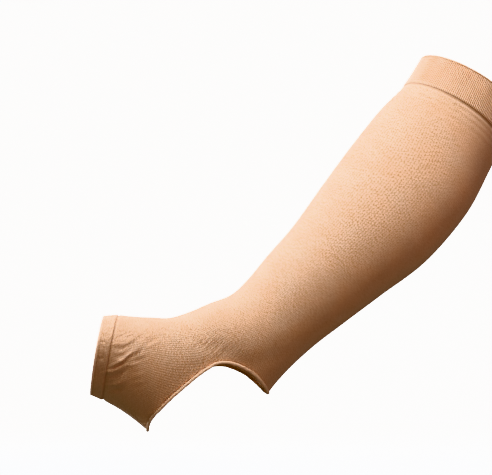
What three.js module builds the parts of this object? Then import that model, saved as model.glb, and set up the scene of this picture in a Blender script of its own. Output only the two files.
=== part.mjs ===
// Leg protector sleeve, in the shape it has when it is worn on a raised right leg.
//
// One knitted tube runs from below the knee to the middle of the foot. It has a ribbed elastic welt
// round its top, a turned hem round its foot end, and an opening at the heel edged with a rolled cord.
//
// Millimetres, +Z up. The origin is the centre of the top welt, where the calf holds the sleeve up.
// The sleeve lies in the XZ plane: the foot points to -X and the knee is up and to +X. The sleeve is
// the same on its two sides, at -Y and +Y.

import * as THREE from "three";

// Cloth
const WALL = 1.2; // the single knit of the tube
const BAND_PROUD = 0.6; // how far the doubled welt and hem stand outside the tube's own surface
const BAND_WALL = 2.2; // the doubled cloth of the welt and hem
const SEAM_GAP = 0.3; // clearance between neighbouring pieces

// Welt
const RIBS = 192; // round the welt
const RIB_HEIGHT = 0.35;
const WELT_EDGE = 1.5; // length of the welt's rounded edges

// Hem
const HEM_EDGE = 1.3;

// Resolution
const COLUMNS = 48; // points round the tube
const RIB_POINTS = (2 * RIBS) / COLUMNS; // points of the welt's outside for each point of its inside
const CORD_SIDES = 8;

// Sections of the tube, from the top rim to the foot hem. Each runs from a front point on the shin or
// instep to a back point on the calf or sole, both as [x, z], and is `half` wide to each side. `low`
// moves its widest place towards the back, as a share of its depth, which flattens the sole.
// Between the ankle and the arch the back points lie on the bare heel.
const SECTIONS = [
  { at: "top rim", front: [-29.2, 37.1], back: [42.7, -9.7], half: 40.5, low: 0.12 },
  { at: "welt seam", front: [-44.9, 13.1], back: [31.5, -40.5], half: 47.5, low: 0.1 },
  { at: "upper calf", front: [-65.2, -7.7], back: [19.8, -64.1], half: 53, low: 0.19 },
  { at: "full calf", front: [-89.3, -37.8], back: [-0.4, -98.0], half: 57, low: 0.32 },
  { at: "lower calf", front: [-113.8, -71.2], back: [-32.3, -134.4], half: 54, low: 0.31 },
  { at: "upper shin", front: [-137.4, -104.4], back: [-68.4, -161.4], half: 46, low: 0.29 },
  { at: "shin", front: [-158.5, -128.9], back: [-100.2, -184.9], half: 38.5, low: 0.27 },
  { at: "lower shin", front: [-175.3, -149.3], back: [-125.9, -204.6], half: 33, low: 0.2 },
  { at: "above the heel", front: [-188.5, -161.3], back: [-150.2, -228.0], half: 31.5, low: 0.03 },
  { at: "ankle", front: [-204.9, -167.9], back: [-169.1, -253.1], half: 32, low: -0.15 },
  { at: "heel", front: [-220.5, -174.8], back: [-190.3, -286.2], half: 33.5, low: -0.22 },
  { at: "under the heel", front: [-236.2, -179.7], back: [-215.2, -292.9], half: 34.5, low: -0.28 },
  { at: "instep", front: [-250.5, -179.6], back: [-237.5, -281.4], half: 36, low: -0.25 },
  { at: "arch", front: [-261.4, -179.2], back: [-255.5, -265.2], half: 37.5, low: -0.19 },
  { at: "middle foot", front: [-270.8, -178.5], back: [-272.2, -252.7], half: 39.5, low: -0.13 },
  { at: "hem seam", front: [-276.6, -178.0], back: [-287.9, -243.8], half: 41, low: -0.1 },
  { at: "foot hem", front: [-288.2, -179.2], back: [-297.6, -239.4], half: 43.5, low: -0.08 },
];

// Edge of the heel opening on one side, from the back of the ankle round to the sole. `along` is the
// distance down the sleeve, `turn` the angle in degrees from the sleeve's back line, and `cord` the
// radius of the rolled edge there.
const OPENING = [
  { along: 285.2, turn: 0, cord: 1.55 },
  { along: 285.8, turn: 20, cord: 1.55 },
  { along: 287.3, turn: 39, cord: 1.55 },
  { along: 291.2, turn: 57.5, cord: 1.55 },
  { along: 297.8, turn: 70.5, cord: 1.5 },
  { along: 306.5, turn: 80.8, cord: 1.45 },
  { along: 318.5, turn: 87.8, cord: 1.45 },
  { along: 331.5, turn: 86.4, cord: 1.5 },
  { along: 346.5, turn: 77.4, cord: 1.55 },
  { along: 358.5, turn: 67.3, cord: 1.55 },
  { along: 368.2, turn: 55.5, cord: 1.55 },
  { along: 375.8, turn: 41.8, cord: 1.55 },
  { along: 380.1, turn: 24.5, cord: 1.45 },
  { along: 381.0, turn: 0, cord: 1.45 },
];

// Folds of the cloth between the opening and the hem, and above the opening. Each lies at `along` and
// `turn`, which is positive on the inner side of the leg, at -Y, and negative on the outer side. It
// runs `length` long at `heading` degrees, 0 down the sleeve and 90 towards the front, and is `width`
// wide. A negative `height` is a trough.
const FOLDS = [
  { along: 402.6, turn: 78.5, heading: 132, length: 26, width: 6.0, height: -1.4 },
  { along: 404.0, turn: 87, heading: 130, length: 22, width: 5.5, height: 0.8 },
  { along: 397.0, turn: 65, heading: 142, length: 28, width: 6.0, height: -1.1 },
  { along: 399.3, turn: 48, heading: 128, length: 18, width: 5.5, height: -0.9 },
  { along: 397.8, turn: 107, heading: 152, length: 24, width: 5.5, height: -0.6 },
  { along: 304.0, turn: 101.5, heading: 170, length: 22, width: 6.0, height: -0.6 },
  { along: 403.0, turn: -85, heading: 128, length: 24, width: 6.0, height: -1.2 },
  { along: 401.0, turn: -94, heading: 126, length: 20, width: 5.5, height: 0.6 },
  { along: 396.0, turn: -61, heading: 143, length: 24, width: 6.5, height: -1.0 },
  { along: 400.0, turn: -41, heading: 132, length: 16, width: 5.5, height: -0.7 },
  { along: 307.0, turn: -105, heading: 166, length: 20, width: 6.5, height: -0.5 },
];

// Soft rings where the tube is gathered under the welt.
const RINGS = [
  { along: 36.5, width: 2.6, height: 0.5 },
  { along: 41.0, width: 2.4, height: -0.4 },
  { along: 45.0, width: 2.6, height: 0.3 },
];

// ---- The surface of the sleeve -----------------------------------------------------------------

const TURN = 2 * Math.PI;
const radians = THREE.MathUtils.degToRad;

// A smooth curve through one value or point of each section.
function through(pointOf) {
  const curve = new THREE.CatmullRomCurve3(SECTIONS.map(pointOf), false, "catmullrom", 0.5);
  curve.arcLengthDivisions = 800;
  return curve;
}

const frontLine = through(({ front }) => new THREE.Vector3(front[0], 0, front[1]));
const backLine = through(({ back }) => new THREE.Vector3(back[0], 0, back[1]));
const shapeLine = through(({ half, low }) => new THREE.Vector3(half, low, 0));
const middleLine = through(({ front, back }) =>
  new THREE.Vector3((front[0] + back[0]) / 2, 0, (front[1] + back[1]) / 2),
);
const LENGTH = middleLine.getLength();

// Distance down the middle of the sleeve to a named section.
function distanceTo(name) {
  const index = SECTIONS.findIndex(({ at }) => at === name);
  const lengths = middleLine.getLengths();
  return lengths[Math.round((index / (SECTIONS.length - 1)) * (lengths.length - 1))];
}

const SEAM = distanceTo("welt seam");
const HEM = distanceTo("hem seam");

// The smooth form: `along` in mm down the sleeve, `angle` round it from the front.
function form(along, angle) {
  const distance = THREE.MathUtils.clamp(along, 0, LENGTH);
  const t = Math.min(middleLine.getUtoTmapping(0, distance), 1);
  const front = frontLine.getPoint(t);
  const back = backLine.getPoint(t);
  const { x: half, y: low } = shapeLine.getPoint(t);
  const depth = (1 + Math.cos(angle) - low * Math.sin(angle) ** 2) / 2;
  const point = back.lerp(front, depth);
  point.y = half * Math.sin(angle);
  return point;
}

// The outward normal of the smooth form, with the two directions in the cloth that it comes from.
function frameAt(along, angle) {
  const stepAlong = 0.5;
  const stepRound = 0.01;
  const here = THREE.MathUtils.clamp(along, stepAlong, LENGTH - stepAlong);
  const down = form(here + stepAlong, angle).sub(form(here - stepAlong, angle));
  const round = form(here, angle + stepRound).sub(form(here, angle - stepRound));
  down.divideScalar(2 * stepAlong);
  round.divideScalar(2 * stepRound);
  const normal = round.clone().cross(down).normalize();
  return { down, round, normal };
}

// Height of the folds and rings over the smooth form.
function relief(along, angle) {
  const footRadius = 40;
  const turn = angle - Math.PI;
  let height = 0;
  for (const fold of FOLDS) {
    const downwards = along - fold.along;
    const forwards = (Math.sign(fold.turn) * turn - radians(Math.abs(fold.turn))) * footRadius;
    const heading = radians(fold.heading);
    const lengthways = downwards * Math.cos(heading) + forwards * Math.sin(heading);
    const across = forwards * Math.cos(heading) - downwards * Math.sin(heading);
    const fade = (lengthways / (fold.length / 2)) ** 2 + (across / (fold.width / 2)) ** 2;
    height += fold.height * Math.exp(-fade);
  }
  for (const ring of RINGS) {
    const fade = ((along - ring.along) / (ring.width / 2)) ** 2;
    height += ring.height * Math.exp(-fade);
  }
  return height;
}

// A point `proud` mm outside the folded cloth.
function cloth(along, angle, proud = 0) {
  const { normal } = frameAt(along, angle);
  return form(along, angle).addScaledVector(normal, proud + relief(along, angle));
}

// ---- Closed solids -----------------------------------------------------------------------------

function solid(name, vertices, triangles, material) {
  const geometry = new THREE.BufferGeometry();
  geometry.setFromPoints(vertices);
  geometry.setIndex(triangles);
  geometry.computeVertexNormals();
  const mesh = new THREE.Mesh(geometry, material);
  mesh.name = name;
  return mesh;
}

function quad(triangles, a, b, c, d) {
  triangles.push(a, b, c, a, c, d);
}

// A wall with the same points outside and inside: every free edge of the outside is closed to the inside.
function wallSolid(name, outside, inside, quads, material) {
  const shift = outside.length;
  const triangles = [];
  const edges = new Set();
  for (const corners of quads) {
    quad(triangles, ...corners);
    quad(triangles, ...corners.map((corner) => corner + shift).reverse());
    corners.forEach((corner, i) => edges.add(`${corner},${corners[(i + 1) % 4]}`));
  }
  for (const edge of edges) {
    const [start, end] = edge.split(",").map(Number);
    if (!edges.has(`${end},${start}`)) quad(triangles, end, start, start + shift, end + shift);
  }
  return solid(name, [...outside, ...inside], triangles, material);
}

// ---- The tube ----------------------------------------------------------------------------------

function spread(from, to, count) {
  return Array.from({ length: count }, (_, i) => from + ((to - from) * i) / count);
}

const openingCurve = new THREE.CatmullRomCurve3(
  [...OPENING, ...OPENING.slice(1, -1).reverse().map((row) => ({ ...row, turn: -row.turn }))].map(
    ({ along, turn, cord }) => new THREE.Vector3(along, Math.PI + radians(turn), cord),
  ),
  true,
  "catmullrom",
  0.5,
);

// Points of the cord's centre line with its radius, and the directions across it in the cloth and out.
function cordPoints(count) {
  return Array.from({ length: count }, (_, i) => {
    const place = openingCurve.getPoint(i / count);
    const tangent = openingCurve.getTangent(i / count);
    const { down, round, normal } = frameAt(place.x, place.y);
    const run = down.clone().multiplyScalar(tangent.x).addScaledVector(round, tangent.y).normalize();
    const across = run.clone().cross(normal).normalize();
    const centre = cloth(place.x, place.y, -WALL / 2);
    return { place, down, round, normal, across, centre, radius: place.z };
  });
}

// The tube's own edge at the opening, as [along, angle], a cord's radius and a gap away from the cord's centre.
function tubeEdge(count) {
  return cordPoints(count).map(({ place, down, round, across, radius }) => {
    const clear = across.clone().multiplyScalar(radius + SEAM_GAP);
    const dd = down.dot(down);
    const dr = down.dot(round);
    const rr = round.dot(round);
    const determinant = dd * rr - dr * dr;
    const alongStep = (clear.dot(down) * rr - clear.dot(round) * dr) / determinant;
    const angleStep = (clear.dot(round) * dd - clear.dot(down) * dr) / determinant;
    return [place.x + alongStep, place.y + angleStep];
  });
}

// A block of the grid round the opening is filled with rings that blend from the block's edge to it.
const BLOCK = { from: 270, to: 391, columns: 17, layers: 5 };
const EDGE_SAMPLES = 720;

function makeTube(material) {
  const top = SEAM + SEAM_GAP;
  const bottom = HEM - SEAM_GAP;
  const underWelt = top + 16;
  const rows = [
    ...spread(top, underWelt, 7),
    ...spread(underWelt, BLOCK.from, 20),
    ...spread(BLOCK.from, BLOCK.to, 15),
    ...spread(BLOCK.to, bottom, 8),
    bottom,
  ];
  const firstRow = rows.indexOf(BLOCK.from);
  const lastRow = rows.indexOf(BLOCK.to);
  const firstColumn = COLUMNS / 2 - BLOCK.columns;
  const lastColumn = COLUMNS / 2 + BLOCK.columns;

  const places = []; // [along, angle] of each point
  const grid = rows.map((along, i) =>
    Array.from({ length: COLUMNS }, (_, j) => {
      const hidden = i > firstRow && i < lastRow && j > firstColumn && j < lastColumn;
      return hidden ? -1 : places.push([along, (TURN * j) / COLUMNS]) - 1;
    }),
  );

  const quads = [];
  for (let i = 0; i < rows.length - 1; i++) {
    for (let j = 0; j < COLUMNS; j++) {
      const inBlock = i >= firstRow && i < lastRow && j >= firstColumn && j < lastColumn;
      const next = (j + 1) % COLUMNS;
      if (!inBlock) quads.push([grid[i][j], grid[i][next], grid[i + 1][next], grid[i + 1][j]]);
    }
  }

  // The block's edge, anticlockwise from outside.
  let ring = [];
  for (let j = firstColumn; j < lastColumn; j++) ring.push(grid[firstRow][j]);
  for (let i = firstRow; i < lastRow; i++) ring.push(grid[i][lastColumn]);
  for (let j = lastColumn; j > firstColumn; j--) ring.push(grid[lastRow][j]);
  for (let i = lastRow; i > firstRow; i--) ring.push(grid[i][firstColumn]);

  // For each of its points, the point of the opening's edge in the same direction from the middle.
  const middle = (OPENING[0].along + OPENING.at(-1).along) / 2;
  const halfRound = 45;
  const direction = ([along, angle]) => Math.atan2((angle - Math.PI) * halfRound, along - middle);
  const edge = tubeEdge(EDGE_SAMPLES);
  const outer = ring.map((index) => places[index]);
  const targets = outer.map((place) => {
    const wanted = direction(place);
    const miss = (sample) => Math.abs(Math.atan2(Math.sin(direction(sample) - wanted), Math.cos(direction(sample) - wanted)));
    return edge.reduce((best, sample) => (miss(sample) < miss(best) ? sample : best));
  });
  for (let layer = 1; layer <= BLOCK.layers; layer++) {
    const share = layer / BLOCK.layers;
    const inner = outer.map(([along, angle], k) => {
      const [edgeAlong, edgeAngle] = targets[k];
      return places.push([along + (edgeAlong - along) * share, angle + (edgeAngle - angle) * share]) - 1;
    });
    ring.forEach((index, k) => {
      const next = (k + 1) % ring.length;
      quads.push([index, ring[next], inner[next], inner[k]]);
    });
    ring = inner;
  }

  const outside = places.map(([along, angle]) => cloth(along, angle));
  const inside = places.map(([along, angle]) => cloth(along, angle, -WALL));
  return wallSolid("leg_tube", outside, inside, quads, material);
}

// ---- The rolled cord round the heel opening ----------------------------------------------------

function makeCord(material) {
  const vertices = [];
  const triangles = [];
  const points = cordPoints(84);
  for (const { centre, across, normal, radius } of points) {
    for (let side = 0; side < CORD_SIDES; side++) {
      const angle = (TURN * side) / CORD_SIDES;
      const point = centre.clone().addScaledVector(across, radius * Math.cos(angle));
      vertices.push(point.addScaledVector(normal, radius * Math.sin(angle)));
    }
  }
  points.forEach((_, i) => {
    const here = i * CORD_SIDES;
    const next = ((i + 1) % points.length) * CORD_SIDES;
    for (let side = 0; side < CORD_SIDES; side++) {
      const turned = (side + 1) % CORD_SIDES;
      quad(triangles, here + side, next + side, next + turned, here + turned);
    }
  });
  return solid("heel_cord", vertices, triangles, material);
}

// ---- Bands: the ribbed welt and the turned hem --------------------------------------------------

// A band whose outside has `fine` points for each point of its plain inside. `profile` lists how far
// along each ring lies, and how proud it is, from the band's first edge to its last.
function bandSolid(name, profile, { fine, ribHeight, material }) {
  const outerCount = COLUMNS * fine;
  const vertices = [];
  const triangles = [];
  const rings = profile.map(({ along, proud, ribbed }) => {
    const start = vertices.length;
    for (let j = 0; j < outerCount; j++) {
      const angle = (TURN * j) / outerCount;
      const rib = j % 2 === 0 ? ribHeight * ribbed : 0;
      vertices.push(cloth(along, angle, proud + rib));
    }
    return start;
  });
  const first = profile[0].along;
  const last = profile.at(-1).along;
  const insideRings = [first, (first + last) / 2, last].map((along) => {
    const start = vertices.length;
    for (let j = 0; j < COLUMNS; j++) {
      const angle = (TURN * j) / COLUMNS;
      vertices.push(cloth(along, angle, BAND_PROUD - BAND_WALL));
    }
    return start;
  });
  const strip = (from, to, count, flip) => {
    for (let j = 0; j < count; j++) {
      const next = (j + 1) % count;
      const corners = [from + j, from + next, to + next, to + j];
      quad(triangles, ...(flip ? corners.reverse() : corners));
    }
  };
  rings.slice(1).forEach((ring, i) => strip(rings[i], ring, outerCount, false));
  insideRings.slice(1).forEach((ring, i) => strip(insideRings[i], ring, COLUMNS, true));
  const closeEdge = (outer, inner, flip) => {
    const triangle = (a, b, c) => triangles.push(a, ...(flip ? [c, b] : [b, c]));
    for (let j = 0; j < COLUMNS; j++) {
      const next = (j + 1) % COLUMNS;
      for (let k = 0; k < fine; k++) {
        triangle(inner + j, outer + ((j * fine + k + 1) % outerCount), outer + j * fine + k);
      }
      triangle(inner + j, inner + next, outer + ((next * fine) % outerCount));
    }
  };
  closeEdge(rings[0], insideRings[0], false);
  closeEdge(rings.at(-1), insideRings.at(-1), true);
  return solid(name, vertices, triangles, material);
}

function makeWelt(material) {
  const profile = [
    { along: 0, proud: -0.2, ribbed: 0.3 },
    { along: WELT_EDGE, proud: BAND_PROUD, ribbed: 1 },
    { along: SEAM / 2, proud: BAND_PROUD, ribbed: 1 },
    { along: SEAM - WELT_EDGE, proud: BAND_PROUD, ribbed: 1 },
    { along: SEAM, proud: -0.2, ribbed: 0.3 },
  ];
  return bandSolid("top_welt", profile, { fine: RIB_POINTS, ribHeight: RIB_HEIGHT, material });
}

function makeHem(material) {
  const profile = [
    { along: HEM, proud: -0.2, ribbed: 0 },
    { along: HEM + HEM_EDGE, proud: BAND_PROUD, ribbed: 0 },
    { along: (HEM + LENGTH) / 2, proud: BAND_PROUD, ribbed: 0 },
    { along: LENGTH - HEM_EDGE, proud: BAND_PROUD, ribbed: 0 },
    { along: LENGTH, proud: -0.2, ribbed: 0 },
  ];
  return bandSolid("foot_hem", profile, { fine: 2, ribHeight: 0, material });
}

// ---- The sleeve --------------------------------------------------------------------------------

const knit = new THREE.MeshStandardMaterial({ color: "#d8a67c", roughness: 0.9, metalness: 0 });
const ribbedKnit = new THREE.MeshStandardMaterial({ color: "#dbab80", roughness: 0.85, metalness: 0 });
const rolledKnit = new THREE.MeshStandardMaterial({ color: "#d9a074", roughness: 0.7, metalness: 0 });

const sleeve = new THREE.Group();
sleeve.name = "leg_protector_sleeve";
sleeve.add(makeWelt(ribbedKnit), makeTube(knit), makeHem(knit), makeCord(rolledKnit));

export default sleeve;
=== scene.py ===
"""Leg protector sleeve: the looks of the knit tube, ribbed welt, turned hem and rolled heel edge.

Lengths in the tables are millimetres, as in the CAD part, and the meshes are made in metres.
"""

import math
from collections import namedtuple

import bpy
import numpy as np
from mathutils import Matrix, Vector


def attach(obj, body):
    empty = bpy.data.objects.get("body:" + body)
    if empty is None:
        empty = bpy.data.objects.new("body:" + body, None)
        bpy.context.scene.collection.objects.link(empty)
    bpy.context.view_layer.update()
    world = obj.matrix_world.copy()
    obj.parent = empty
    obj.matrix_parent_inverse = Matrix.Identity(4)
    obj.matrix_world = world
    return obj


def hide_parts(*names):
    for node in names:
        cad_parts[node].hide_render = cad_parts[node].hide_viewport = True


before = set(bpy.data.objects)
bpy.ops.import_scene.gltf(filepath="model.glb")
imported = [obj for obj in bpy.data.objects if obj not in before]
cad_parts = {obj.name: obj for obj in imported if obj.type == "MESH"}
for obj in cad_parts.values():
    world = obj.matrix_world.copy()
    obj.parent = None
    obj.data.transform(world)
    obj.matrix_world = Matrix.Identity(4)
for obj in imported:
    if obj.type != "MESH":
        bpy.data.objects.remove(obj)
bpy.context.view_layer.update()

MM = 0.001
TURN = 2 * math.pi

# ---- The form of the sleeve ---------------------------------------------------------------------
# Sections from the top rim to the foot hem: a front point and a back point in the XZ plane, the half
# width to each side, and how far the widest place lies towards the back, as a share of the depth.

Section = namedtuple("Section", "name front_x front_z back_x back_z half low")
SECTIONS = [
    Section("top rim", -29.2, 37.1, 42.7, -9.7, 40.5, 0.12),
    Section("welt seam", -44.9, 13.1, 31.5, -40.5, 47.5, 0.10),
    Section("upper calf", -65.2, -7.7, 19.8, -64.1, 53.0, 0.19),
    Section("full calf", -89.3, -37.8, -0.4, -98.0, 57.0, 0.32),
    Section("lower calf", -113.8, -71.2, -32.3, -134.4, 54.0, 0.31),
    Section("upper shin", -137.4, -104.4, -68.4, -161.4, 46.0, 0.29),
    Section("shin", -158.5, -128.9, -100.2, -184.9, 38.5, 0.27),
    Section("lower shin", -175.3, -149.3, -125.9, -204.6, 33.0, 0.20),
    Section("above the heel", -188.5, -161.3, -150.2, -228.0, 31.5, 0.03),
    Section("ankle", -204.9, -167.9, -169.1, -253.1, 32.0, -0.15),
    Section("heel", -220.5, -174.8, -190.3, -286.2, 33.5, -0.22),
    Section("under the heel", -236.2, -179.7, -215.2, -292.9, 34.5, -0.28),
    Section("instep", -250.5, -179.6, -237.5, -281.4, 36.0, -0.25),
    Section("arch", -261.4, -179.2, -255.5, -265.2, 37.5, -0.19),
    Section("middle foot", -270.8, -178.5, -272.2, -252.7, 39.5, -0.13),
    Section("hem seam", -276.6, -178.0, -287.9, -243.8, 41.0, -0.10),
    Section("foot hem", -288.2, -179.2, -297.6, -239.4, 43.5, -0.08),
]

# Edge of the heel opening on one side: distance down the sleeve, degrees from the back line, and the
# radius of the rolled edge.
Edge = namedtuple("Edge", "along turn cord")
OPENING = [
    Edge(285.2, 0.0, 1.55),
    Edge(285.8, 20.0, 1.55),
    Edge(287.3, 39.0, 1.55),
    Edge(291.2, 57.5, 1.55),
    Edge(297.8, 70.5, 1.50),
    Edge(306.5, 80.8, 1.45),
    Edge(318.5, 87.8, 1.45),
    Edge(331.5, 86.4, 1.50),
    Edge(346.5, 77.4, 1.55),
    Edge(358.5, 67.3, 1.55),
    Edge(368.2, 55.5, 1.55),
    Edge(375.8, 41.8, 1.55),
    Edge(380.1, 24.5, 1.45),
    Edge(381.0, 0.0, 1.45),
]

# Creases: place, heading in degrees (0 down the sleeve, 90 towards the front), length, width and
# height. A positive turn is on the inner side of the leg, at -Y, and a negative one on the outer side.
Fold = namedtuple("Fold", "along turn heading length width height")
FOLDS = [
    # Creases that run from the hem up over the side of the foot, inner side
    Fold(399.9, 83, 134, 21, 2.1, 1.30),
    Fold(400.4, 78, 134, 17, 2.0, -1.20),
    Fold(402.3, 72, 136, 20, 2.1, 1.10),
    Fold(402.2, 65, 135, 18, 2.2, -1.15),
    Fold(408.9, 65, 139, 6, 2.6, 1.00),
    Fold(402.3, 54, 130, 13, 2.2, 1.40),
    Fold(401.4, 47, 126, 14, 2.4, -1.50),
    Fold(402.8, 102, 161, 18, 2.1, 0.32),
    Fold(402.5, 97, 159, 18, 2.1, -0.30),
    Fold(391.0, 110, 147, 15, 2.0, 0.45),
    Fold(390.5, 106, 149, 16, 2.0, -0.42),
    Fold(388.7, 97, 144, 19, 2.0, 0.63),
    Fold(387.0, 94, 148, 15, 2.0, -0.56),
    Fold(383.7, 94, 156, 16, 2.0, 0.59),
    Fold(384.7, 90, 152, 21, 2.0, -0.45),
    Fold(390.4, 82, 151, 12, 2.0, 0.50),
    Fold(385.6, 74, 146, 11, 2.0, 0.42),
    Fold(385.0, 68, 147, 13, 2.1, 0.36),
    Fold(393.5, 118, 159, 12, 2.0, 0.39),
    Fold(387.6, 128, 163, 19, 2.4, -0.22),
    Fold(372.7, 107, 155, 16, 2.0, 0.36),
    Fold(368.5, 114, 153, 18, 2.0, -0.34),
    Fold(374.8, 118, 153, 20, 2.2, 0.22),
    Fold(400.0, 32, 116, 13, 3.0, -0.49),
    Fold(402.0, 17, 108, 11, 3.0, -0.35),
    # The same on the outer side
    Fold(402.0, -84, 130, 24, 2.9, 1.19),
    Fold(400.5, -77, 132, 20, 2.9, -0.98),
    Fold(402.5, -69, 136, 19, 2.7, 0.77),
    Fold(402.0, -61, 128, 17, 3.2, -0.77),
    Fold(403.5, -52, 124, 13, 2.9, 0.56),
    Fold(402.0, -44, 126, 12, 3.2, -0.49),
    Fold(402.5, -96, 158, 19, 2.1, 0.50),
    Fold(402.0, -102, 157, 17, 2.1, -0.53),
    Fold(391.5, -95, 148, 17, 2.1, 0.59),
    Fold(389.0, -89, 150, 15, 2.0, -0.50),
    Fold(386.0, -84, 154, 14, 2.0, 0.48),
    Fold(392.0, -78, 147, 12, 2.0, 0.45),
    Fold(394.0, -112, 156, 12, 2.0, 0.36),
    Fold(386.0, -121, 162, 17, 2.0, -0.34),
    Fold(385.0, -67, 146, 12, 2.1, 0.36),
    Fold(397.0, -34, 120, 13, 3.0, -0.42),
    # Fine pulls fanning up from the top of the heel opening
    Fold(324.7, 110, 163, 15, 1.9, -0.40),
    Fold(321.6, 107, 167, 16, 2.0, -0.67),
    Fold(318.5, 104, 169, 17, 2.2, -0.61),
    Fold(315.0, 102, 170, 18, 1.9, -0.74),
    Fold(312.2, 100, 169, 18, 2.0, -0.67),
    Fold(310.0, 98, 171, 17, 2.2, -0.77),
    Fold(308.2, 95, 169, 16, 1.9, -0.61),
    Fold(305.9, 92, 168, 15, 2.0, -0.67),
    Fold(303.4, 90, 167, 14, 2.2, -0.46),
    Fold(300.2, 88, 162, 13, 1.9, -0.54),
    Fold(296.9, 86, 159, 12, 2.0, -0.40),
    Fold(294.4, 83, 157, 10, 2.2, -0.34),
    Fold(322.0, -106, 164, 13, 2.1, -0.51),
    Fold(318.0, -104, 166, 16, 2.0, -0.67),
    Fold(314.5, -101, 168, 15, 2.1, -0.61),
    Fold(311.0, -98, 170, 17, 2.0, -0.70),
    Fold(308.0, -94, 171, 16, 2.2, -0.64),
    Fold(304.5, -92, 168, 15, 2.0, -0.67),
    Fold(301.0, -90, 165, 13, 2.1, -0.48),
    Fold(297.5, -87, 163, 11, 2.0, -0.38),
    # Hollows behind the ankle bones, and drag lines at the bend of the ankle
    Fold(284.0, 64, 14, 44, 15.0, -0.80),
    Fold(286.0, -63, 166, 42, 15.0, -0.75),
    Fold(300.0, 168, 92, 26, 5.0, -0.35),
    Fold(292.0, 172, 88, 24, 5.0, -0.25),
    Fold(309.0, -166, 94, 26, 5.0, -0.30),
    Fold(284.0, -172, 90, 20, 5.0, -0.20),
]

# Soft rings round the tube where it is gathered under the welt.
Ring = namedtuple("Ring", "along width height")
RINGS = [
    Ring(34.2, 1.9, 0.28),
    Ring(36.6, 1.8, -0.26),
    Ring(39.0, 2.0, 0.24),
    Ring(41.6, 2.0, -0.20),
    Ring(44.6, 2.4, 0.16),
    Ring(48.0, 2.8, -0.10),
]

FOOT_RADIUS = 40  # turns an angle into mm round the foot for the creases
OPENING_RADIUS = 45  # the same for the bearings round the heel opening
TURN_IN = 1.3  # how far the cloth turns in at the sides of the heel opening, and within what reach
TURN_IN_REACH = 7.5
TUBE_WALL = 0.9
SEAM_DIP = 0.6
PUCKERS = 150  # small dents round the turned hem
RIBS = 192  # round the welt, as in the CAD part
RIB_HEIGHT = 0.30

# The rolled edge: its share of the CAD cord's radius, as the knit's roll is tighter than a plain cord;
# how much of its radius the tube's edge goes in beside it; how proud its middle stands, as shares of the
# radius, at the sides of the leg and all round; and the waves that its turns make in its surface.
CORD_SHARE = 0.88
CORD_TUCK = 0.5
CORD_PROUD = (0.9, -0.2)
Twist = namedtuple("Twist", "waves pitch share")
TWISTS = [Twist(2, -6.2, 0.04), Twist(1, 9.7, 0.03)]
THIN_ROLL, THICK_ROLL = 1.05, 1.27  # radii between which the turns come to show
FAINTEST = 0.15


def scattered(seed, count, **spans):
    """Small creases spread at random, each value between the two ends of its span."""
    chance = np.random.default_rng(seed)
    return [Fold(*(chance.uniform(*spans[key]) for key in Fold._fields)) for _ in range(count)]


RIPPLE = dict(along=(378, 404), heading=(142, 162), length=(5, 12), width=(1.5, 2.3), height=(-0.42, 0.42))
FOLDS += scattered(3, 46, turn=(74, 128), **RIPPLE)
FOLDS += scattered(4, 46, turn=(-128, -74), **RIPPLE)


def through(values, t):
    """The values of a smooth curve through the rows at the row numbers t, as the CAD part's curves."""
    rows = np.asarray(values, float)
    t = np.clip(np.asarray(t, float), 0, len(rows) - 1 - 1e-9)
    i = t.astype(int)
    w = (t - i)[..., None]
    ends = np.vstack([2 * rows[0] - rows[1], rows, 2 * rows[-1] - rows[-2]])
    before, here, there, after = ends[i], ends[i + 1], ends[i + 2], ends[i + 3]
    slope_here, slope_there = (there - before) / 2, (after - here) / 2
    cubic = 2 * here - 2 * there + slope_here + slope_there
    square = -3 * here + 3 * there - 2 * slope_here - slope_there
    return cubic * w**3 + square * w**2 + slope_here * w + here


SHAPE = np.array([row[1:] for row in SECTIONS], float)
ROW_STEPS = np.linspace(0, len(SHAPE) - 1, 3001)
_steps = through(SHAPE, ROW_STEPS)
_middle = (_steps[:, 0:2] + _steps[:, 2:4]) / 2
DISTANCES = np.concatenate([[0], np.cumsum(np.linalg.norm(np.diff(_middle, axis=0), axis=1))])
LENGTH = DISTANCES[-1]


def distance_to(name):
    """How far down the middle of the sleeve a named section lies."""
    row = next(i for i, section in enumerate(SECTIONS) if section.name == name)
    return float(np.interp(row, ROW_STEPS, DISTANCES))


SEAM = distance_to("welt seam")
HEM = distance_to("hem seam")


def form(along, angle):
    """Points of the smooth form: along in mm down the sleeve, angle round it from the front."""
    along, angle = np.broadcast_arrays(np.asarray(along, float), np.asarray(angle, float))
    values = through(SHAPE, np.interp(along, DISTANCES, ROW_STEPS))
    front, back = values[..., 0:2], values[..., 2:4]
    half, low = values[..., 4], values[..., 5]
    depth = (1 + np.cos(angle) - low * np.sin(angle) ** 2) / 2
    flat = back + (front - back) * depth[..., None]
    return np.stack([flat[..., 0], half * np.sin(angle), flat[..., 1]], axis=-1)


def directions(along, angle):
    """The directions down and round the form, and its outward normal."""
    here = np.clip(along, 0.5, LENGTH - 0.5)
    down = form(here + 0.5, angle) - form(here - 0.5, angle)
    around = (form(here, angle + 0.01) - form(here, angle - 0.01)) / 0.02
    normal = np.cross(around, down)
    return down, around, normal / np.linalg.norm(normal, axis=-1, keepdims=True)


def turned_in(along, angle):
    """Depth that the cloth turns in towards the sides of the heel opening."""
    mirrored = [edge._replace(turn=-edge.turn) for edge in OPENING[-2:0:-1]]
    rows = [(edge.along, math.pi + math.radians(edge.turn)) for edge in OPENING + mirrored]
    edge = through(rows + rows[:1], np.linspace(0, len(rows), 240, endpoint=False))
    nearest = np.full(along.shape, np.inf)
    for place, turn in edge:
        nearest = np.minimum(nearest, (along - place) ** 2 + ((angle - turn) * FOOT_RADIUS) ** 2)
    return TURN_IN * np.sin(angle) ** 2 * np.exp(-nearest / TURN_IN_REACH**2)


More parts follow.
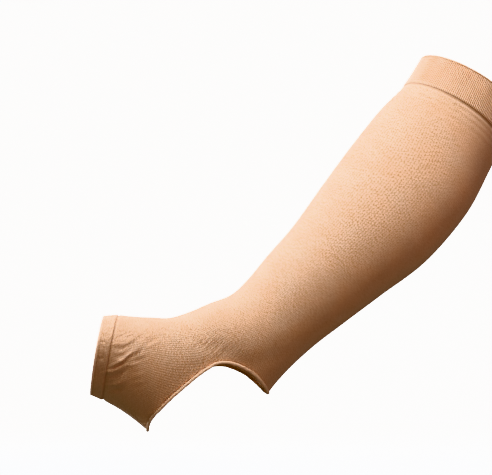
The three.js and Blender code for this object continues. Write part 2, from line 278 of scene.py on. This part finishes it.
def relief(along, angle, folds=FOLDS):
    """Height of the folds and rings over the smooth form."""
    along, angle = np.broadcast_arrays(np.asarray(along, float), np.asarray(angle, float))
    turn = angle - math.pi
    height = np.zeros(np.broadcast(along, angle).shape)
    for fold in folds:
        downwards = along - fold.along
        forwards = (math.copysign(1, fold.turn) * turn - math.radians(abs(fold.turn))) * FOOT_RADIUS
        heading = math.radians(fold.heading)
        lengthways = downwards * math.cos(heading) + forwards * math.sin(heading)
        across = forwards * math.cos(heading) - downwards * math.sin(heading)
        fade = (lengthways / (fold.length / 2)) ** 2 + (across / (fold.width / 2)) ** 2
        height += fold.height * np.exp(-fade)
    for ring in RINGS:
        uneven = 1 + 0.5 * np.sin(2 * angle + ring.along) * np.cos(3 * angle - ring.along)
        height += ring.height * uneven * np.exp(-(((along - ring.along) / (ring.width / 2)) ** 2))
    return height - turned_in(along, angle)


def cloth(along, angle, proud=0.0):
    """Points that stand proud mm outside the folded cloth."""
    along, angle = np.broadcast_arrays(np.asarray(along, float), np.asarray(angle, float))
    normal = directions(along, angle)[2]
    return form(along, angle) + normal * (relief(along, angle) + proud)[..., None]


# ---- Meshes ------------------------------------------------------------------------------------


def make_piece(name, points, faces, places, node):
    """A smooth mesh that stands for a CAD node. Its UV map has the turns round the sleeve and metres
    down it, so that the knit follows the cloth."""
    mesh = bpy.data.meshes.new(name)
    mesh.from_pydata((points * MM).tolist(), [], faces)
    mesh.polygons.foreach_set("use_smooth", [True] * len(mesh.polygons))
    corners = np.empty(len(mesh.loops), int)
    mesh.loops.foreach_get("vertex_index", corners)
    around = places[corners, 1] / TURN
    first = np.repeat([p.loop_start for p in mesh.polygons], [p.loop_total for p in mesh.polygons])
    around += np.round(around[first] - around)  # faces across the start of the turn stay whole
    uv = np.stack([around, places[corners, 0] * MM], axis=1)
    mesh.uv_layers.new(name="cloth").data.foreach_set("uv", uv.ravel())
    piece = bpy.data.objects.new(name, mesh)
    bpy.context.scene.collection.objects.link(piece)
    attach(piece, "root")
    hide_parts(node)
    return piece


def loft(rings, turned=False):
    """Quads between closed rings of point numbers; turned joins the last ring to the first."""
    faces = []
    pairs = list(zip(rings, rings[1:] + rings[:1])) if turned else list(zip(rings, rings[1:]))
    for here, there in pairs:
        for j in range(len(here)):
            k = (j + 1) % len(here)
            faces.append((here[j], here[k], there[k], there[j]))
    return faces


def opening_points(count):
    """Points evenly spread in row number round the heel opening's edge: along, angle and radius."""
    mirrored = [edge._replace(turn=-edge.turn) for edge in OPENING[-2:0:-1]]
    rows = [(e.along, math.pi + math.radians(e.turn), e.cord) for e in OPENING + mirrored]
    closed = np.array(rows[-1:] + rows + rows[:2])
    steps = 1 + np.arange(count) * len(rows) / count
    place = through(closed, steps)
    place[:, 2] *= CORD_SHARE
    ahead, behind = through(closed, steps + 0.01), through(closed, steps - 0.01)
    down, around, normal = directions(place[:, 0], place[:, 1])
    step = ahead - behind
    run = down * step[:, 0:1] + around * step[:, 1:2]
    run /= np.linalg.norm(run, axis=1, keepdims=True)
    across = np.cross(run, normal)
    across /= np.linalg.norm(across, axis=1, keepdims=True)
    return place, down, around, normal, across


def tube_edge(count):
    """Where the tube's cloth goes into the rolled edge, as along and angle."""
    place, down, around, _, across = opening_points(count)
    reach = across * (place[:, 2:3] * CORD_TUCK)
    dd, dr, rr = (down * down).sum(1), (down * around).sum(1), (around * around).sum(1)
    rd, ra = (reach * down).sum(1), (reach * around).sum(1)
    scale = dd * rr - dr * dr
    return np.stack(
        [place[:, 0] + (rd * rr - ra * dr) / scale, place[:, 1] + (ra * dd - rd * dr) / scale], 1
    )


# How finely the tube's two faces are divided: columns round it, rows down its four stretches, columns
# to each side of the back line in the block that holds the heel opening, and layers in that block.
Grid = namedtuple("Grid", "columns rows block layers")
OUTER = Grid(304, (20, 68, 100, 24), 108, 34)
INNER = Grid(152, (10, 34, 50, 12), 54, 10)  # half as many round each rim
STRETCHES = (SEAM - 0.5, 50, 270, 391, HEM + 0.5)


def seam_dip(along, place, width):
    """The dip of the cloth where it is sewn down at a seam."""
    return -SEAM_DIP * np.exp(-(((along - place) / width) ** 2))


def make_tube(grid):
    """Rows round the form, with layers that blend to the heel opening: places, faces and rims."""
    rows = [np.linspace(*ends, n, endpoint=False) for *ends, n in zip(STRETCHES, STRETCHES[1:], grid.rows)]
    rows = np.concatenate(rows + [STRETCHES[-1:]])
    columns, first_row = grid.columns, sum(grid.rows[:2])
    last_row = first_row + grid.rows[2]
    first, last = columns // 2 - grid.block, columns // 2 + grid.block
    places, at, faces = [], -np.ones((len(rows), columns), int), []
    for i, along in enumerate(rows):
        for j in range(columns):
            if not (first_row < i < last_row and first < j < last):
                at[i, j] = len(places)
                places.append((along, TURN * j / columns))
    for i in range(len(rows) - 1):
        for j in range(columns):
            if not (first_row <= i < last_row and first <= j < last):
                k = (j + 1) % columns
                faces.append(tuple(int(c) for c in (at[i, j], at[i, k], at[i + 1, k], at[i + 1, j])))
    ring = [at[first_row, j] for j in range(first, last)]
    ring += [at[i, last] for i in range(first_row, last_row)]
    ring += [at[last_row, j] for j in range(last, first, -1)]
    ring += [at[i, first] for i in range(last_row, first_row, -1)]
    ring = [int(c) for c in ring]

    middle = (OPENING[0].along + OPENING[-1].along) / 2

    def bearing(place):
        return np.arctan2((place[:, 1] - math.pi) * OPENING_RADIUS, place[:, 0] - middle) % TURN

    edge = tube_edge(1440)
    edge = edge[np.argsort(bearing(edge))]
    outer = np.array([places[c] for c in ring])
    wanted = bearing(outer)
    target = np.stack([np.interp(wanted, bearing(edge), edge[:, k], period=TURN) for k in (0, 1)], 1)
    for layer in range(1, grid.layers + 1):
        start = len(places)
        places.extend(map(tuple, outer + (target - outer) * layer / grid.layers))
        inner = list(range(start, start + len(ring)))
        faces.extend(loft([ring, inner]))
        ring = inner
    rims = [list(map(int, at[0]))[::-1], list(map(int, at[-1])), ring]
    return np.array(places), faces, rims


def build_tube():
    """A finer outer face and an inner face, a cloth's thickness apart and joined at their rims."""
    places, faces, rims = make_tube(OUTER)
    back_places, back_faces, back_rims = make_tube(INNER)
    dips = seam_dip(places[:, 0], SEAM, 1.9) + seam_dip(places[:, 0], HEM, 1.2)
    points = np.concatenate([cloth(*places.T, dips), cloth(*back_places.T, -TUBE_WALL)])
    start = len(places)
    faces += [tuple(start + corner for corner in face[::-1]) for face in back_faces]
    for rim, back in zip(rims, back_rims):
        for k in range(len(back)):
            ahead = (k + 1) % len(back)
            there = (rim[2 * k], rim[2 * k + 1], rim[2 * ahead])
            faces.append((*there, start + back[ahead], start + back[k]))
    places = np.concatenate([places, back_places])
    return make_piece("knit_tube", points, faces, places, "leg_tube")


def build_band(name, profile, count, height, node):
    """A closed band. The profile gives, for each ring, how far along and how proud it is, and how
    much of the relief height(along, angle) it takes."""
    angles = np.arange(count) * TURN / count
    places, points, rings = [], [], []
    for along, proud, share in profile:
        start = len(places) * count
        places.append(np.stack([np.full(count, along), angles], 1))
        points.append(cloth(along, angles, proud + share * height(along, angles)))
        rings.append(list(range(start, start + count)))
    faces = loft(rings, turned=True)
    return make_piece(
        name, np.concatenate(points), faces, np.concatenate(places), node
    )


def build_welt():
    lip = [(0.5, -1.25, 0), (0.15, -0.9, 0), (0.0, -0.3, 0), (0.1, 0.35, 0.2), (0.45, 0.78, 0.3)]
    lip += [(0.95, 0.85, 0.3), (1.4, 0.6, 0.3), (1.8, 0.2, 0.4), (2.3, 0.4, 0.8)]
    body = [(along, 0.6, 1) for along in np.linspace(3, SEAM - 2.2, 20)]
    foot = [(SEAM - 1.7, 0.72, 0.5), (SEAM - 1.1, 0.6, 0.3), (SEAM - 0.6, 0.2, 0.1)]
    foot += [(SEAM - 0.2, -0.3, 0), (SEAM, -0.6, 0), (SEAM + 0.1, -1.2, 0)]
    inside = [(along, -1.3, 0) for along in np.linspace(SEAM - 1, 1.2, 6)]

    def ribs(along, angle):
        return RIB_HEIGHT * np.cos(RIBS * angle)

    profile = lip + body + foot + inside
    return build_band("ribbed_welt", profile, 5 * RIBS, ribs, "top_welt")


def build_hem():
    lip = [(LENGTH - 0.4, -1.1, 0), (LENGTH - 0.05, -0.7, 0), (LENGTH, -0.1, 0)]
    lip += [(LENGTH - 0.15, 0.5, 0), (LENGTH - 0.6, 0.78, 0.1), (LENGTH - 1.1, 0.7, 0.3)]
    lip += [(LENGTH - 1.6, 0.42, 0.6), (LENGTH - 2.2, 0.45, 1)]
    body = [(along, 0.5, 1) for along in np.linspace(LENGTH - 2.8, HEM + 1.6, 9)]
    seam = [(HEM + 1.0, 0.42, 0.8), (HEM + 0.5, 0.15, 0.3), (HEM + 0.15, -0.3, 0)]
    seam += [(HEM + 0.05, -0.9, 0), (HEM + 0.3, -1.2, 0)]
    inside = [(along, -1.25, 0) for along in np.linspace(HEM + 1.5, LENGTH - 1.4, 4)]
    middle = (HEM + LENGTH) / 2
    dents = scattered(
        5,
        PUCKERS,
        along=(middle - 3, middle + 3),
        turn=(-178, 178),
        heading=(10, 170),
        length=(3, 6),
        width=(1.4, 2.4),
        height=(-0.34, 0.18),
    )

    def puckers(along, angle):
        return relief(along, angle, dents) - relief(along, angle, [])

    profile = (lip + body + seam + inside)[::-1]
    return build_band("turned_hem", profile, 480, puckers, "foot_hem")


def build_cord():
    """The rolled edge round the heel opening, with the turns of its roll showing at the heel."""
    count, sides = 560, 18
    place, _, _, normal, across = opening_points(count)
    at_side, all_round = CORD_PROUD
    proud = place[:, 2] * (at_side * np.sin(place[:, 1]) ** 2 + all_round)
    centre = cloth(place[:, 0], place[:, 1], proud)
    step = np.linalg.norm(centre - np.roll(centre, 1, axis=0), axis=1)
    run = np.cumsum(step)
    rolled = np.clip((place[:, 2] - THIN_ROLL) / (THICK_ROLL - THIN_ROLL), FAINTEST, 1)
    rings, points, places = [], [], []
    for i in range(count):
        side = np.arange(sides) * TURN / sides
        twist = sum(np.cos(t.waves * side + TURN * run[i] / t.pitch) * t.share for t in TWISTS)
        radius = place[i, 2] * (1 + rolled[i] * twist)
        ring = centre[i] + across[i] * (radius * np.cos(side))[:, None]
        points.append(ring + normal[i] * (radius * np.sin(side))[:, None])
        places.append(np.stack([run[i] + 0 * side, side], 1))
        rings.append(list(range(i * sides, (i + 1) * sides)))
    faces = [face[::-1] for face in loft(rings, turned=True)]
    return make_piece(
        "rolled_edge", np.concatenate(points), faces, np.concatenate(places), "heel_cord"
    )


tube = build_tube()
welt = build_welt()
hem = build_hem()
cord = build_cord()

# ---- Knit materials ----------------------------------------------------------------------------


class Nodes:
    """Short names for making and joining the nodes of one material."""

    def __init__(self, name):
        self.material = bpy.data.materials.new(name)
        self.material.use_nodes = True
        self.tree = self.material.node_tree
        self.shader = self.tree.nodes["Principled BSDF"]

    def add(self, kind, settings=None, **inputs):
        node = self.tree.nodes.new(kind)
        for key, value in (settings or {}).items():
            setattr(node, key, value)
        for key, value in inputs.items():
            self.put(node, key, value)
        return node

    def put(self, node, key, value):
        socket = node.inputs[int(key[1:]) if key[0] == "_" else key.replace("_", " ")]
        if isinstance(value, bpy.types.NodeSocket):
            self.tree.links.new(value, socket)
        else:
            socket.default_value = value

    def math(self, operation, a, b=0.0):
        return self.add("ShaderNodeMath", {"operation": operation}, _0=a, _1=b).outputs[0]

    def noise(self, vector, scale, detail=2.0, roughness=0.5):
        node = self.add(
            "ShaderNodeTexNoise", Vector=vector, Scale=scale, Detail=detail, Roughness=roughness
        )
        return node.outputs["Fac"]

    def swing(self, value, amount):
        """A noise value as a swing about nought."""
        return self.math("MULTIPLY", self.math("SUBTRACT", value, 0.5), amount)

    def wave(self, value, count):
        """A sine wave with count turns for each unit of value, from -1 to 1."""
        return self.math("SINE", self.math("MULTIPLY", value, count * TURN))

    def mixed(self, factor, a, b):
        node = self.add("ShaderNodeMix", {"data_type": "RGBA"}, _0=factor, _6=a, _7=b)
        return node.outputs[2]

    def ramp(self, value, low, high):
        node = self.add("ShaderNodeMapRange", Value=value)
        node.inputs["From Min"].default_value = low
        node.inputs["From Max"].default_value = high
        return node.outputs[0]


GIRTH = 260  # mm round the tube, on the mean
WALES = 172  # stitch columns round it
COURSE = 1.3  # mm for each row of stitches
LEAN = 1.1  # rows that a chevron climbs over half a column
FIBRES = (2, 1.7)  # cells with a shade of their own in each stitch, across and down
LOOP_TONE, FIBRE_TONE = 0.15, 0.68
PATCH_TONE, PATCH_SCALE = 0.18, 0.075
BLUSH_SCALE = 0.05
# How strong the grain is painted by side, as painted light and shade: its mean, its swing towards the lit
# front and its least, at the back
LIT_GRAIN_MEAN, LIT_GRAIN_SWING, LIT_GRAIN_LEAST = 0.68, 1.15, 0.3
# The first value paints light and shade on the welt's ribs; the others give the pattern of its courses
RIB_SHADE_TONE, WELT_COURSE_TONE, WELT_COURSES = 0.9, 0.45, 540  # courses for each metre
STITCH_BUMP = 0.00003
# Shares of the yarn's colour for the light and dark grain, and for the shade painted into seam grooves and
# under lips
LIGHT_SHARES, DARK_SHARES, GROOVE_SHADE_SHARES = (1.42, 1.6, 1.85), (0.58, 0.4, 0.15), (0.5, 0.4, 0.3)


def shaded(colour, shares):
    """A colour with each of its three parts taken by its own share."""
    return (*(part * share for part, share in zip(colour, shares)), 1)


def knit(name, colour, ribs=0, lines=(), grain=1.0, patches=1.0, girth=GIRTH, painted_top_light=0.0):
    """A knit cloth. The lines run round the sleeve: place in mm, width, and how much painted highlight they
    add, or, where it is below nought, what share of painted shade they take, the shade in a seam's groove or
    under a lip. In tone, 0.5 is the cloth's own colour."""
    n = Nodes(name)
    place = n.add("ShaderNodeUVMap", {"uv_map": "cloth"}).outputs[0]
    split = n.add("ShaderNodeSeparateXYZ", Vector=place)
    around, down = split.outputs[0], split.outputs[1]
    # The cloth's own place in mm, where girth is the distance round
    cloth_mm = n.add("ShaderNodeMapping", Vector=place, Scale=(girth, 1000, 1)).outputs[0]

    # Stitches: columns of chevrons, and fibres that each have a shade of their own
    column = n.math("MULTIPLY", around, round(WALES * girth / GIRTH))
    climb = n.math("MULTIPLY", n.math("PINGPONG", column, 0.5), LEAN)
    row = n.math("ADD", n.math("MULTIPLY", down, 1000 / COURSE), climb)
    loops = n.math("ADD", n.wave(row, 1), n.wave(n.math("ADD", column, 0.25), 1))
    across, along = n.math("MULTIPLY", column, FIBRES[0]), n.math("MULTIPLY", row, FIBRES[1])
    fibre = n.add("ShaderNodeCombineXYZ", _0=across, _1=along).outputs[0]
    shades = []
    for step in (0, 1):
        cell = n.add("ShaderNodeVectorMath", {"operation": "ADD"}, _0=fibre, _1=(0, step, 0))
        cell = n.add("ShaderNodeVectorMath", {"operation": "FLOOR"}, _0=cell.outputs[0])
        shades.append(n.add("ShaderNodeTexWhiteNoise", Vector=cell.outputs[0]).outputs["Value"])
    # A fibre's own shade, less half of the next one's, so that light and dark ones alternate
    uneven = n.math("SUBTRACT", n.math("SUBTRACT", shades[0], 0.5), n.math("MULTIPLY", shades[1], 0.5))
    fibres = n.math("MULTIPLY", n.math("ADD", uneven, 0.25), FIBRE_TONE)
    tone = n.math("ADD", n.math("MULTIPLY", loops, LOOP_TONE), fibres)

    # The grain of the stitches is their own, but its strength is painted light and shade: strongest on the
    # front of the leg, where the light falls, and faintest towards the back
    front = n.wave(n.math("ADD", around, 0.25), 1)
    proud = n.math("ADD", n.math("MULTIPLY", front, LIT_GRAIN_SWING), LIT_GRAIN_MEAN)
    proud = n.math("MAXIMUM", proud, LIT_GRAIN_LEAST)
    tone = n.math("MULTIPLY", tone, n.math("MULTIPLY", proud, grain))
    patch = n.swing(n.noise(cloth_mm, PATCH_SCALE), PATCH_TONE * patches)
    tone = n.math("ADD", tone, patch)
    if ribs:
        # Painted light and shade on the ribs: crests lighter and the hollows between them darker, in step
        # with their relief; and a pattern of courses down the welt
        rib_shade = n.wave(n.math("ADD", around, 0.25 / ribs), ribs)
        course = n.wave(down, WELT_COURSES)
        rib_shade_and_courses = n.math("ADD", n.math("MULTIPLY", rib_shade, RIB_SHADE_TONE), n.math("MULTIPLY", course, WELT_COURSE_TONE))
        tone = n.math("ADD", tone, n.math("SUBTRACT", rib_shade_and_courses, 0.04))
    # Lines above nought are painted highlights along rims and ridges; lines below nought are painted shade in
    # seam grooves and under lips
    groove_shades = []
    for line, width, amount in lines:
        away = n.math("DIVIDE", n.math("SUBTRACT", down, line * MM), width * MM)
        glow = n.math("EXPONENT", n.math("MULTIPLY", n.math("MULTIPLY", away, away), -1))
        if amount > 0:
            tone = n.math("ADD", tone, n.math("MULTIPLY", glow, amount))
        else:
            groove_shades.append(n.math("MULTIPLY", glow, -amount))
    # Painted light and shade on a roll: the top of it is painted lighter than its sides, and its underside
    # darker
    tone = n.math("ADD", tone, n.math("MULTIPLY", n.wave(around, 1), painted_top_light))
    tone = n.math("ADD", tone, 0.5 - painted_top_light / 2)

    shade = n.mixed(tone, shaded(colour, DARK_SHARES), shaded(colour, LIGHT_SHARES))
    # Painted shade: the colour is mixed towards the dark groove shade along the lines below nought
    for groove_shade in groove_shades:
        shade = n.mixed(groove_shade, shade, shaded(colour, GROOVE_SHADE_SHARES))
    blush = n.ramp(n.noise(cloth_mm, BLUSH_SCALE, 1.0), 0.3, 0.7)
    tint = n.mixed(blush, (1.02, 0.99, 0.96, 1), (0.98, 1.01, 1.04, 1))
    settings = {"data_type": "RGBA", "blend_type": "MULTIPLY"}
    shade = n.add("ShaderNodeMix", settings, _0=1.0, _6=shade, _7=tint).outputs[2]
    bump = n.add("ShaderNodeBump", Height=loops, Strength=1.0, Distance=STITCH_BUMP)
    n.put(n.shader, "Base_Color", shade)
    n.put(n.shader, "Normal", bump.outputs[0])
    n.shader.inputs["Roughness"].default_value = 0.85
    n.shader.inputs["Specular IOR Level"].default_value = 0.1
    n.shader.inputs["Sheen Weight"].default_value = 0.2
    n.shader.inputs["Sheen Roughness"].default_value = 0.8
    n.shader.inputs["Sheen Tint"].default_value = (1.0, 1.0, 1.0, 1)
    return n.material


YARN = (0.68, 0.441, 0.279)
ROLLED_YARN = (0.74, 0.49, 0.31)
Line = namedtuple("Line", "along width amount")
# Painted lines round the sleeve: the positive ones are painted highlights on rims and ridges, the negative
# ones painted shade in the seam grooves and under the lips
TUBE_LINES = [Line(SEAM + 0.5, 1.3, -0.85), Line(SEAM + 2.8, 0.8, 0.12), Line(HEM - 0.2, 0.5, -0.4)]
WELT_LINES = [Line(0.5, 0.6, 0.3), Line(1.9, 0.6, -0.7)]
WELT_LINES += [Line(SEAM - 1.4, 0.6, 0.4), Line(SEAM - 0.1, 0.5, -0.8)]
HEM_LINES = [Line(LENGTH - 0.5, 0.9, 1.3), Line(LENGTH - 2.3, 0.5, -0.4), Line(HEM + 0.3, 0.5, -0.35)]

tube.data.materials.append(knit("fine knit", YARN, lines=TUBE_LINES))
welt.data.materials.append(knit("ribbed knit", YARN, RIBS, WELT_LINES, grain=0.6, patches=0.6))
hem.data.materials.append(knit("hem knit", YARN, lines=HEM_LINES))
# The rolled edge gets painted light and shade round it: its top lighter, its sides and underside darker
cord.data.materials.append(
    knit("rolled knit", ROLLED_YARN, grain=0.12, patches=0.5, girth=9, painted_top_light=0.45)
)

# ---- Floor, backdrop, light and camera ------------------------------------------------------------


FLOOR = -0.42  # the height of the floor, in metres from the origin
STAGE_SIZE, STAGE_HEIGHT = 8, 9
STAGE_GREY, STAGE_GLOW = 0.95, 3  # the glow takes the stage's colour to nearly white


def stage_piece(name, points, faces):
    """A plain pale piece of the stage, which lights nothing else."""
    mesh = bpy.data.meshes.new(name)
    mesh.from_pydata(points, [], faces)
    piece = bpy.data.objects.new(name, mesh)
    bpy.context.scene.collection.objects.link(piece)
    n = Nodes(name)
    n.shader.inputs["Base Color"].default_value = (STAGE_GREY, STAGE_GREY, STAGE_GREY, 1)
    n.shader.inputs["Roughness"].default_value = 0.9
    n.shader.inputs["Emission Color"].default_value = (1, 1, 1, 1)
    n.shader.inputs["Emission Strength"].default_value = STAGE_GLOW
    mesh.materials.append(n.material)
    piece.visible_diffuse = piece.visible_glossy = False
    return piece


def build_stage():
    """The floor, and a backdrop of four walls and a ceiling, which casts no shadow."""
    sides = [(-1, -1), (1, -1), (1, 1), (-1, 1)]
    corners = [(x * STAGE_SIZE, y * STAGE_SIZE, FLOOR) for x, y in sides]
    stage_piece("floor", corners, [(0, 1, 2, 3)])
    top = [(x, y, z + STAGE_HEIGHT) for x, y, z in corners]
    walls = [(1, 0, 4, 5), (2, 1, 5, 6), (3, 2, 6, 7), (0, 3, 7, 4), (7, 6, 5, 4)]
    room = stage_piece("backdrop", corners + top, walls)
    room.visible_shadow = False


def area_light(name, target, direction, distance, size, colour):
    """A disk of light; colour is what a white surface that faces it would show, nothing being between."""
    data = bpy.data.lights.new(name, "AREA")
    data.shape = "DISK"
    data.size = size
    data.energy = max(colour) * (math.pi * distance) ** 2
    data.color = [part / max(colour) for part in colour]
    light = bpy.data.objects.new(name, data)
    light.location = Vector(target) + Vector(direction).normalized() * distance
    light.rotation_mode = "QUATERNION"
    light.rotation_quaternion = Vector(direction).to_track_quat("Z", "Y")
    bpy.context.scene.collection.objects.link(light)


build_stage()
MIDDLE, CALF = (-0.13, 0, -0.12), (-0.04, 0, -0.05)  # what the lights aim at
FAR, NEAR = (3.0, 1.5), (0.7, 0.35)  # distance and width of a light, in metres
area_light("overhead", MIDDLE, (-0.3, -0.1, 0.95), *FAR, (1.26, 1.33, 1.47))
area_light("upper left", CALF, (-0.3, -0.6, 0.75), *NEAR, (0.66, 0.59, 0.47))
area_light("right", CALF, (0.25, -1, 0.1), *NEAR, (0.14, 0.06, 0.07))
area_light("back left", MIDDLE, (-0.8, 0.35, 0.45), *FAR, (1.56, 1.67, 1.85))

world = bpy.data.worlds.new("studio")
world.use_nodes = True
world.node_tree.nodes["Background"].inputs[0].default_value = (1.0, 0.84, 0.68, 1)
world.node_tree.nodes["Background"].inputs[1].default_value = 0.2
bpy.context.scene.world = world
bpy.context.scene.view_settings.view_transform = "Khronos PBR Neutral"

camera = bpy.data.objects.new("camera", bpy.data.cameras.new("camera"))
camera.data.lens = 85
camera.data.sensor_width = 36
camera.location = (-0.25871, -0.91672, -0.24338)
camera.rotation_mode = "QUATERNION"
camera.rotation_quaternion = Vector((0.09, 1, 0.14)).to_track_quat("-Z", "Y")
bpy.context.scene.collection.objects.link(camera)
bpy.context.scene.camera = camera
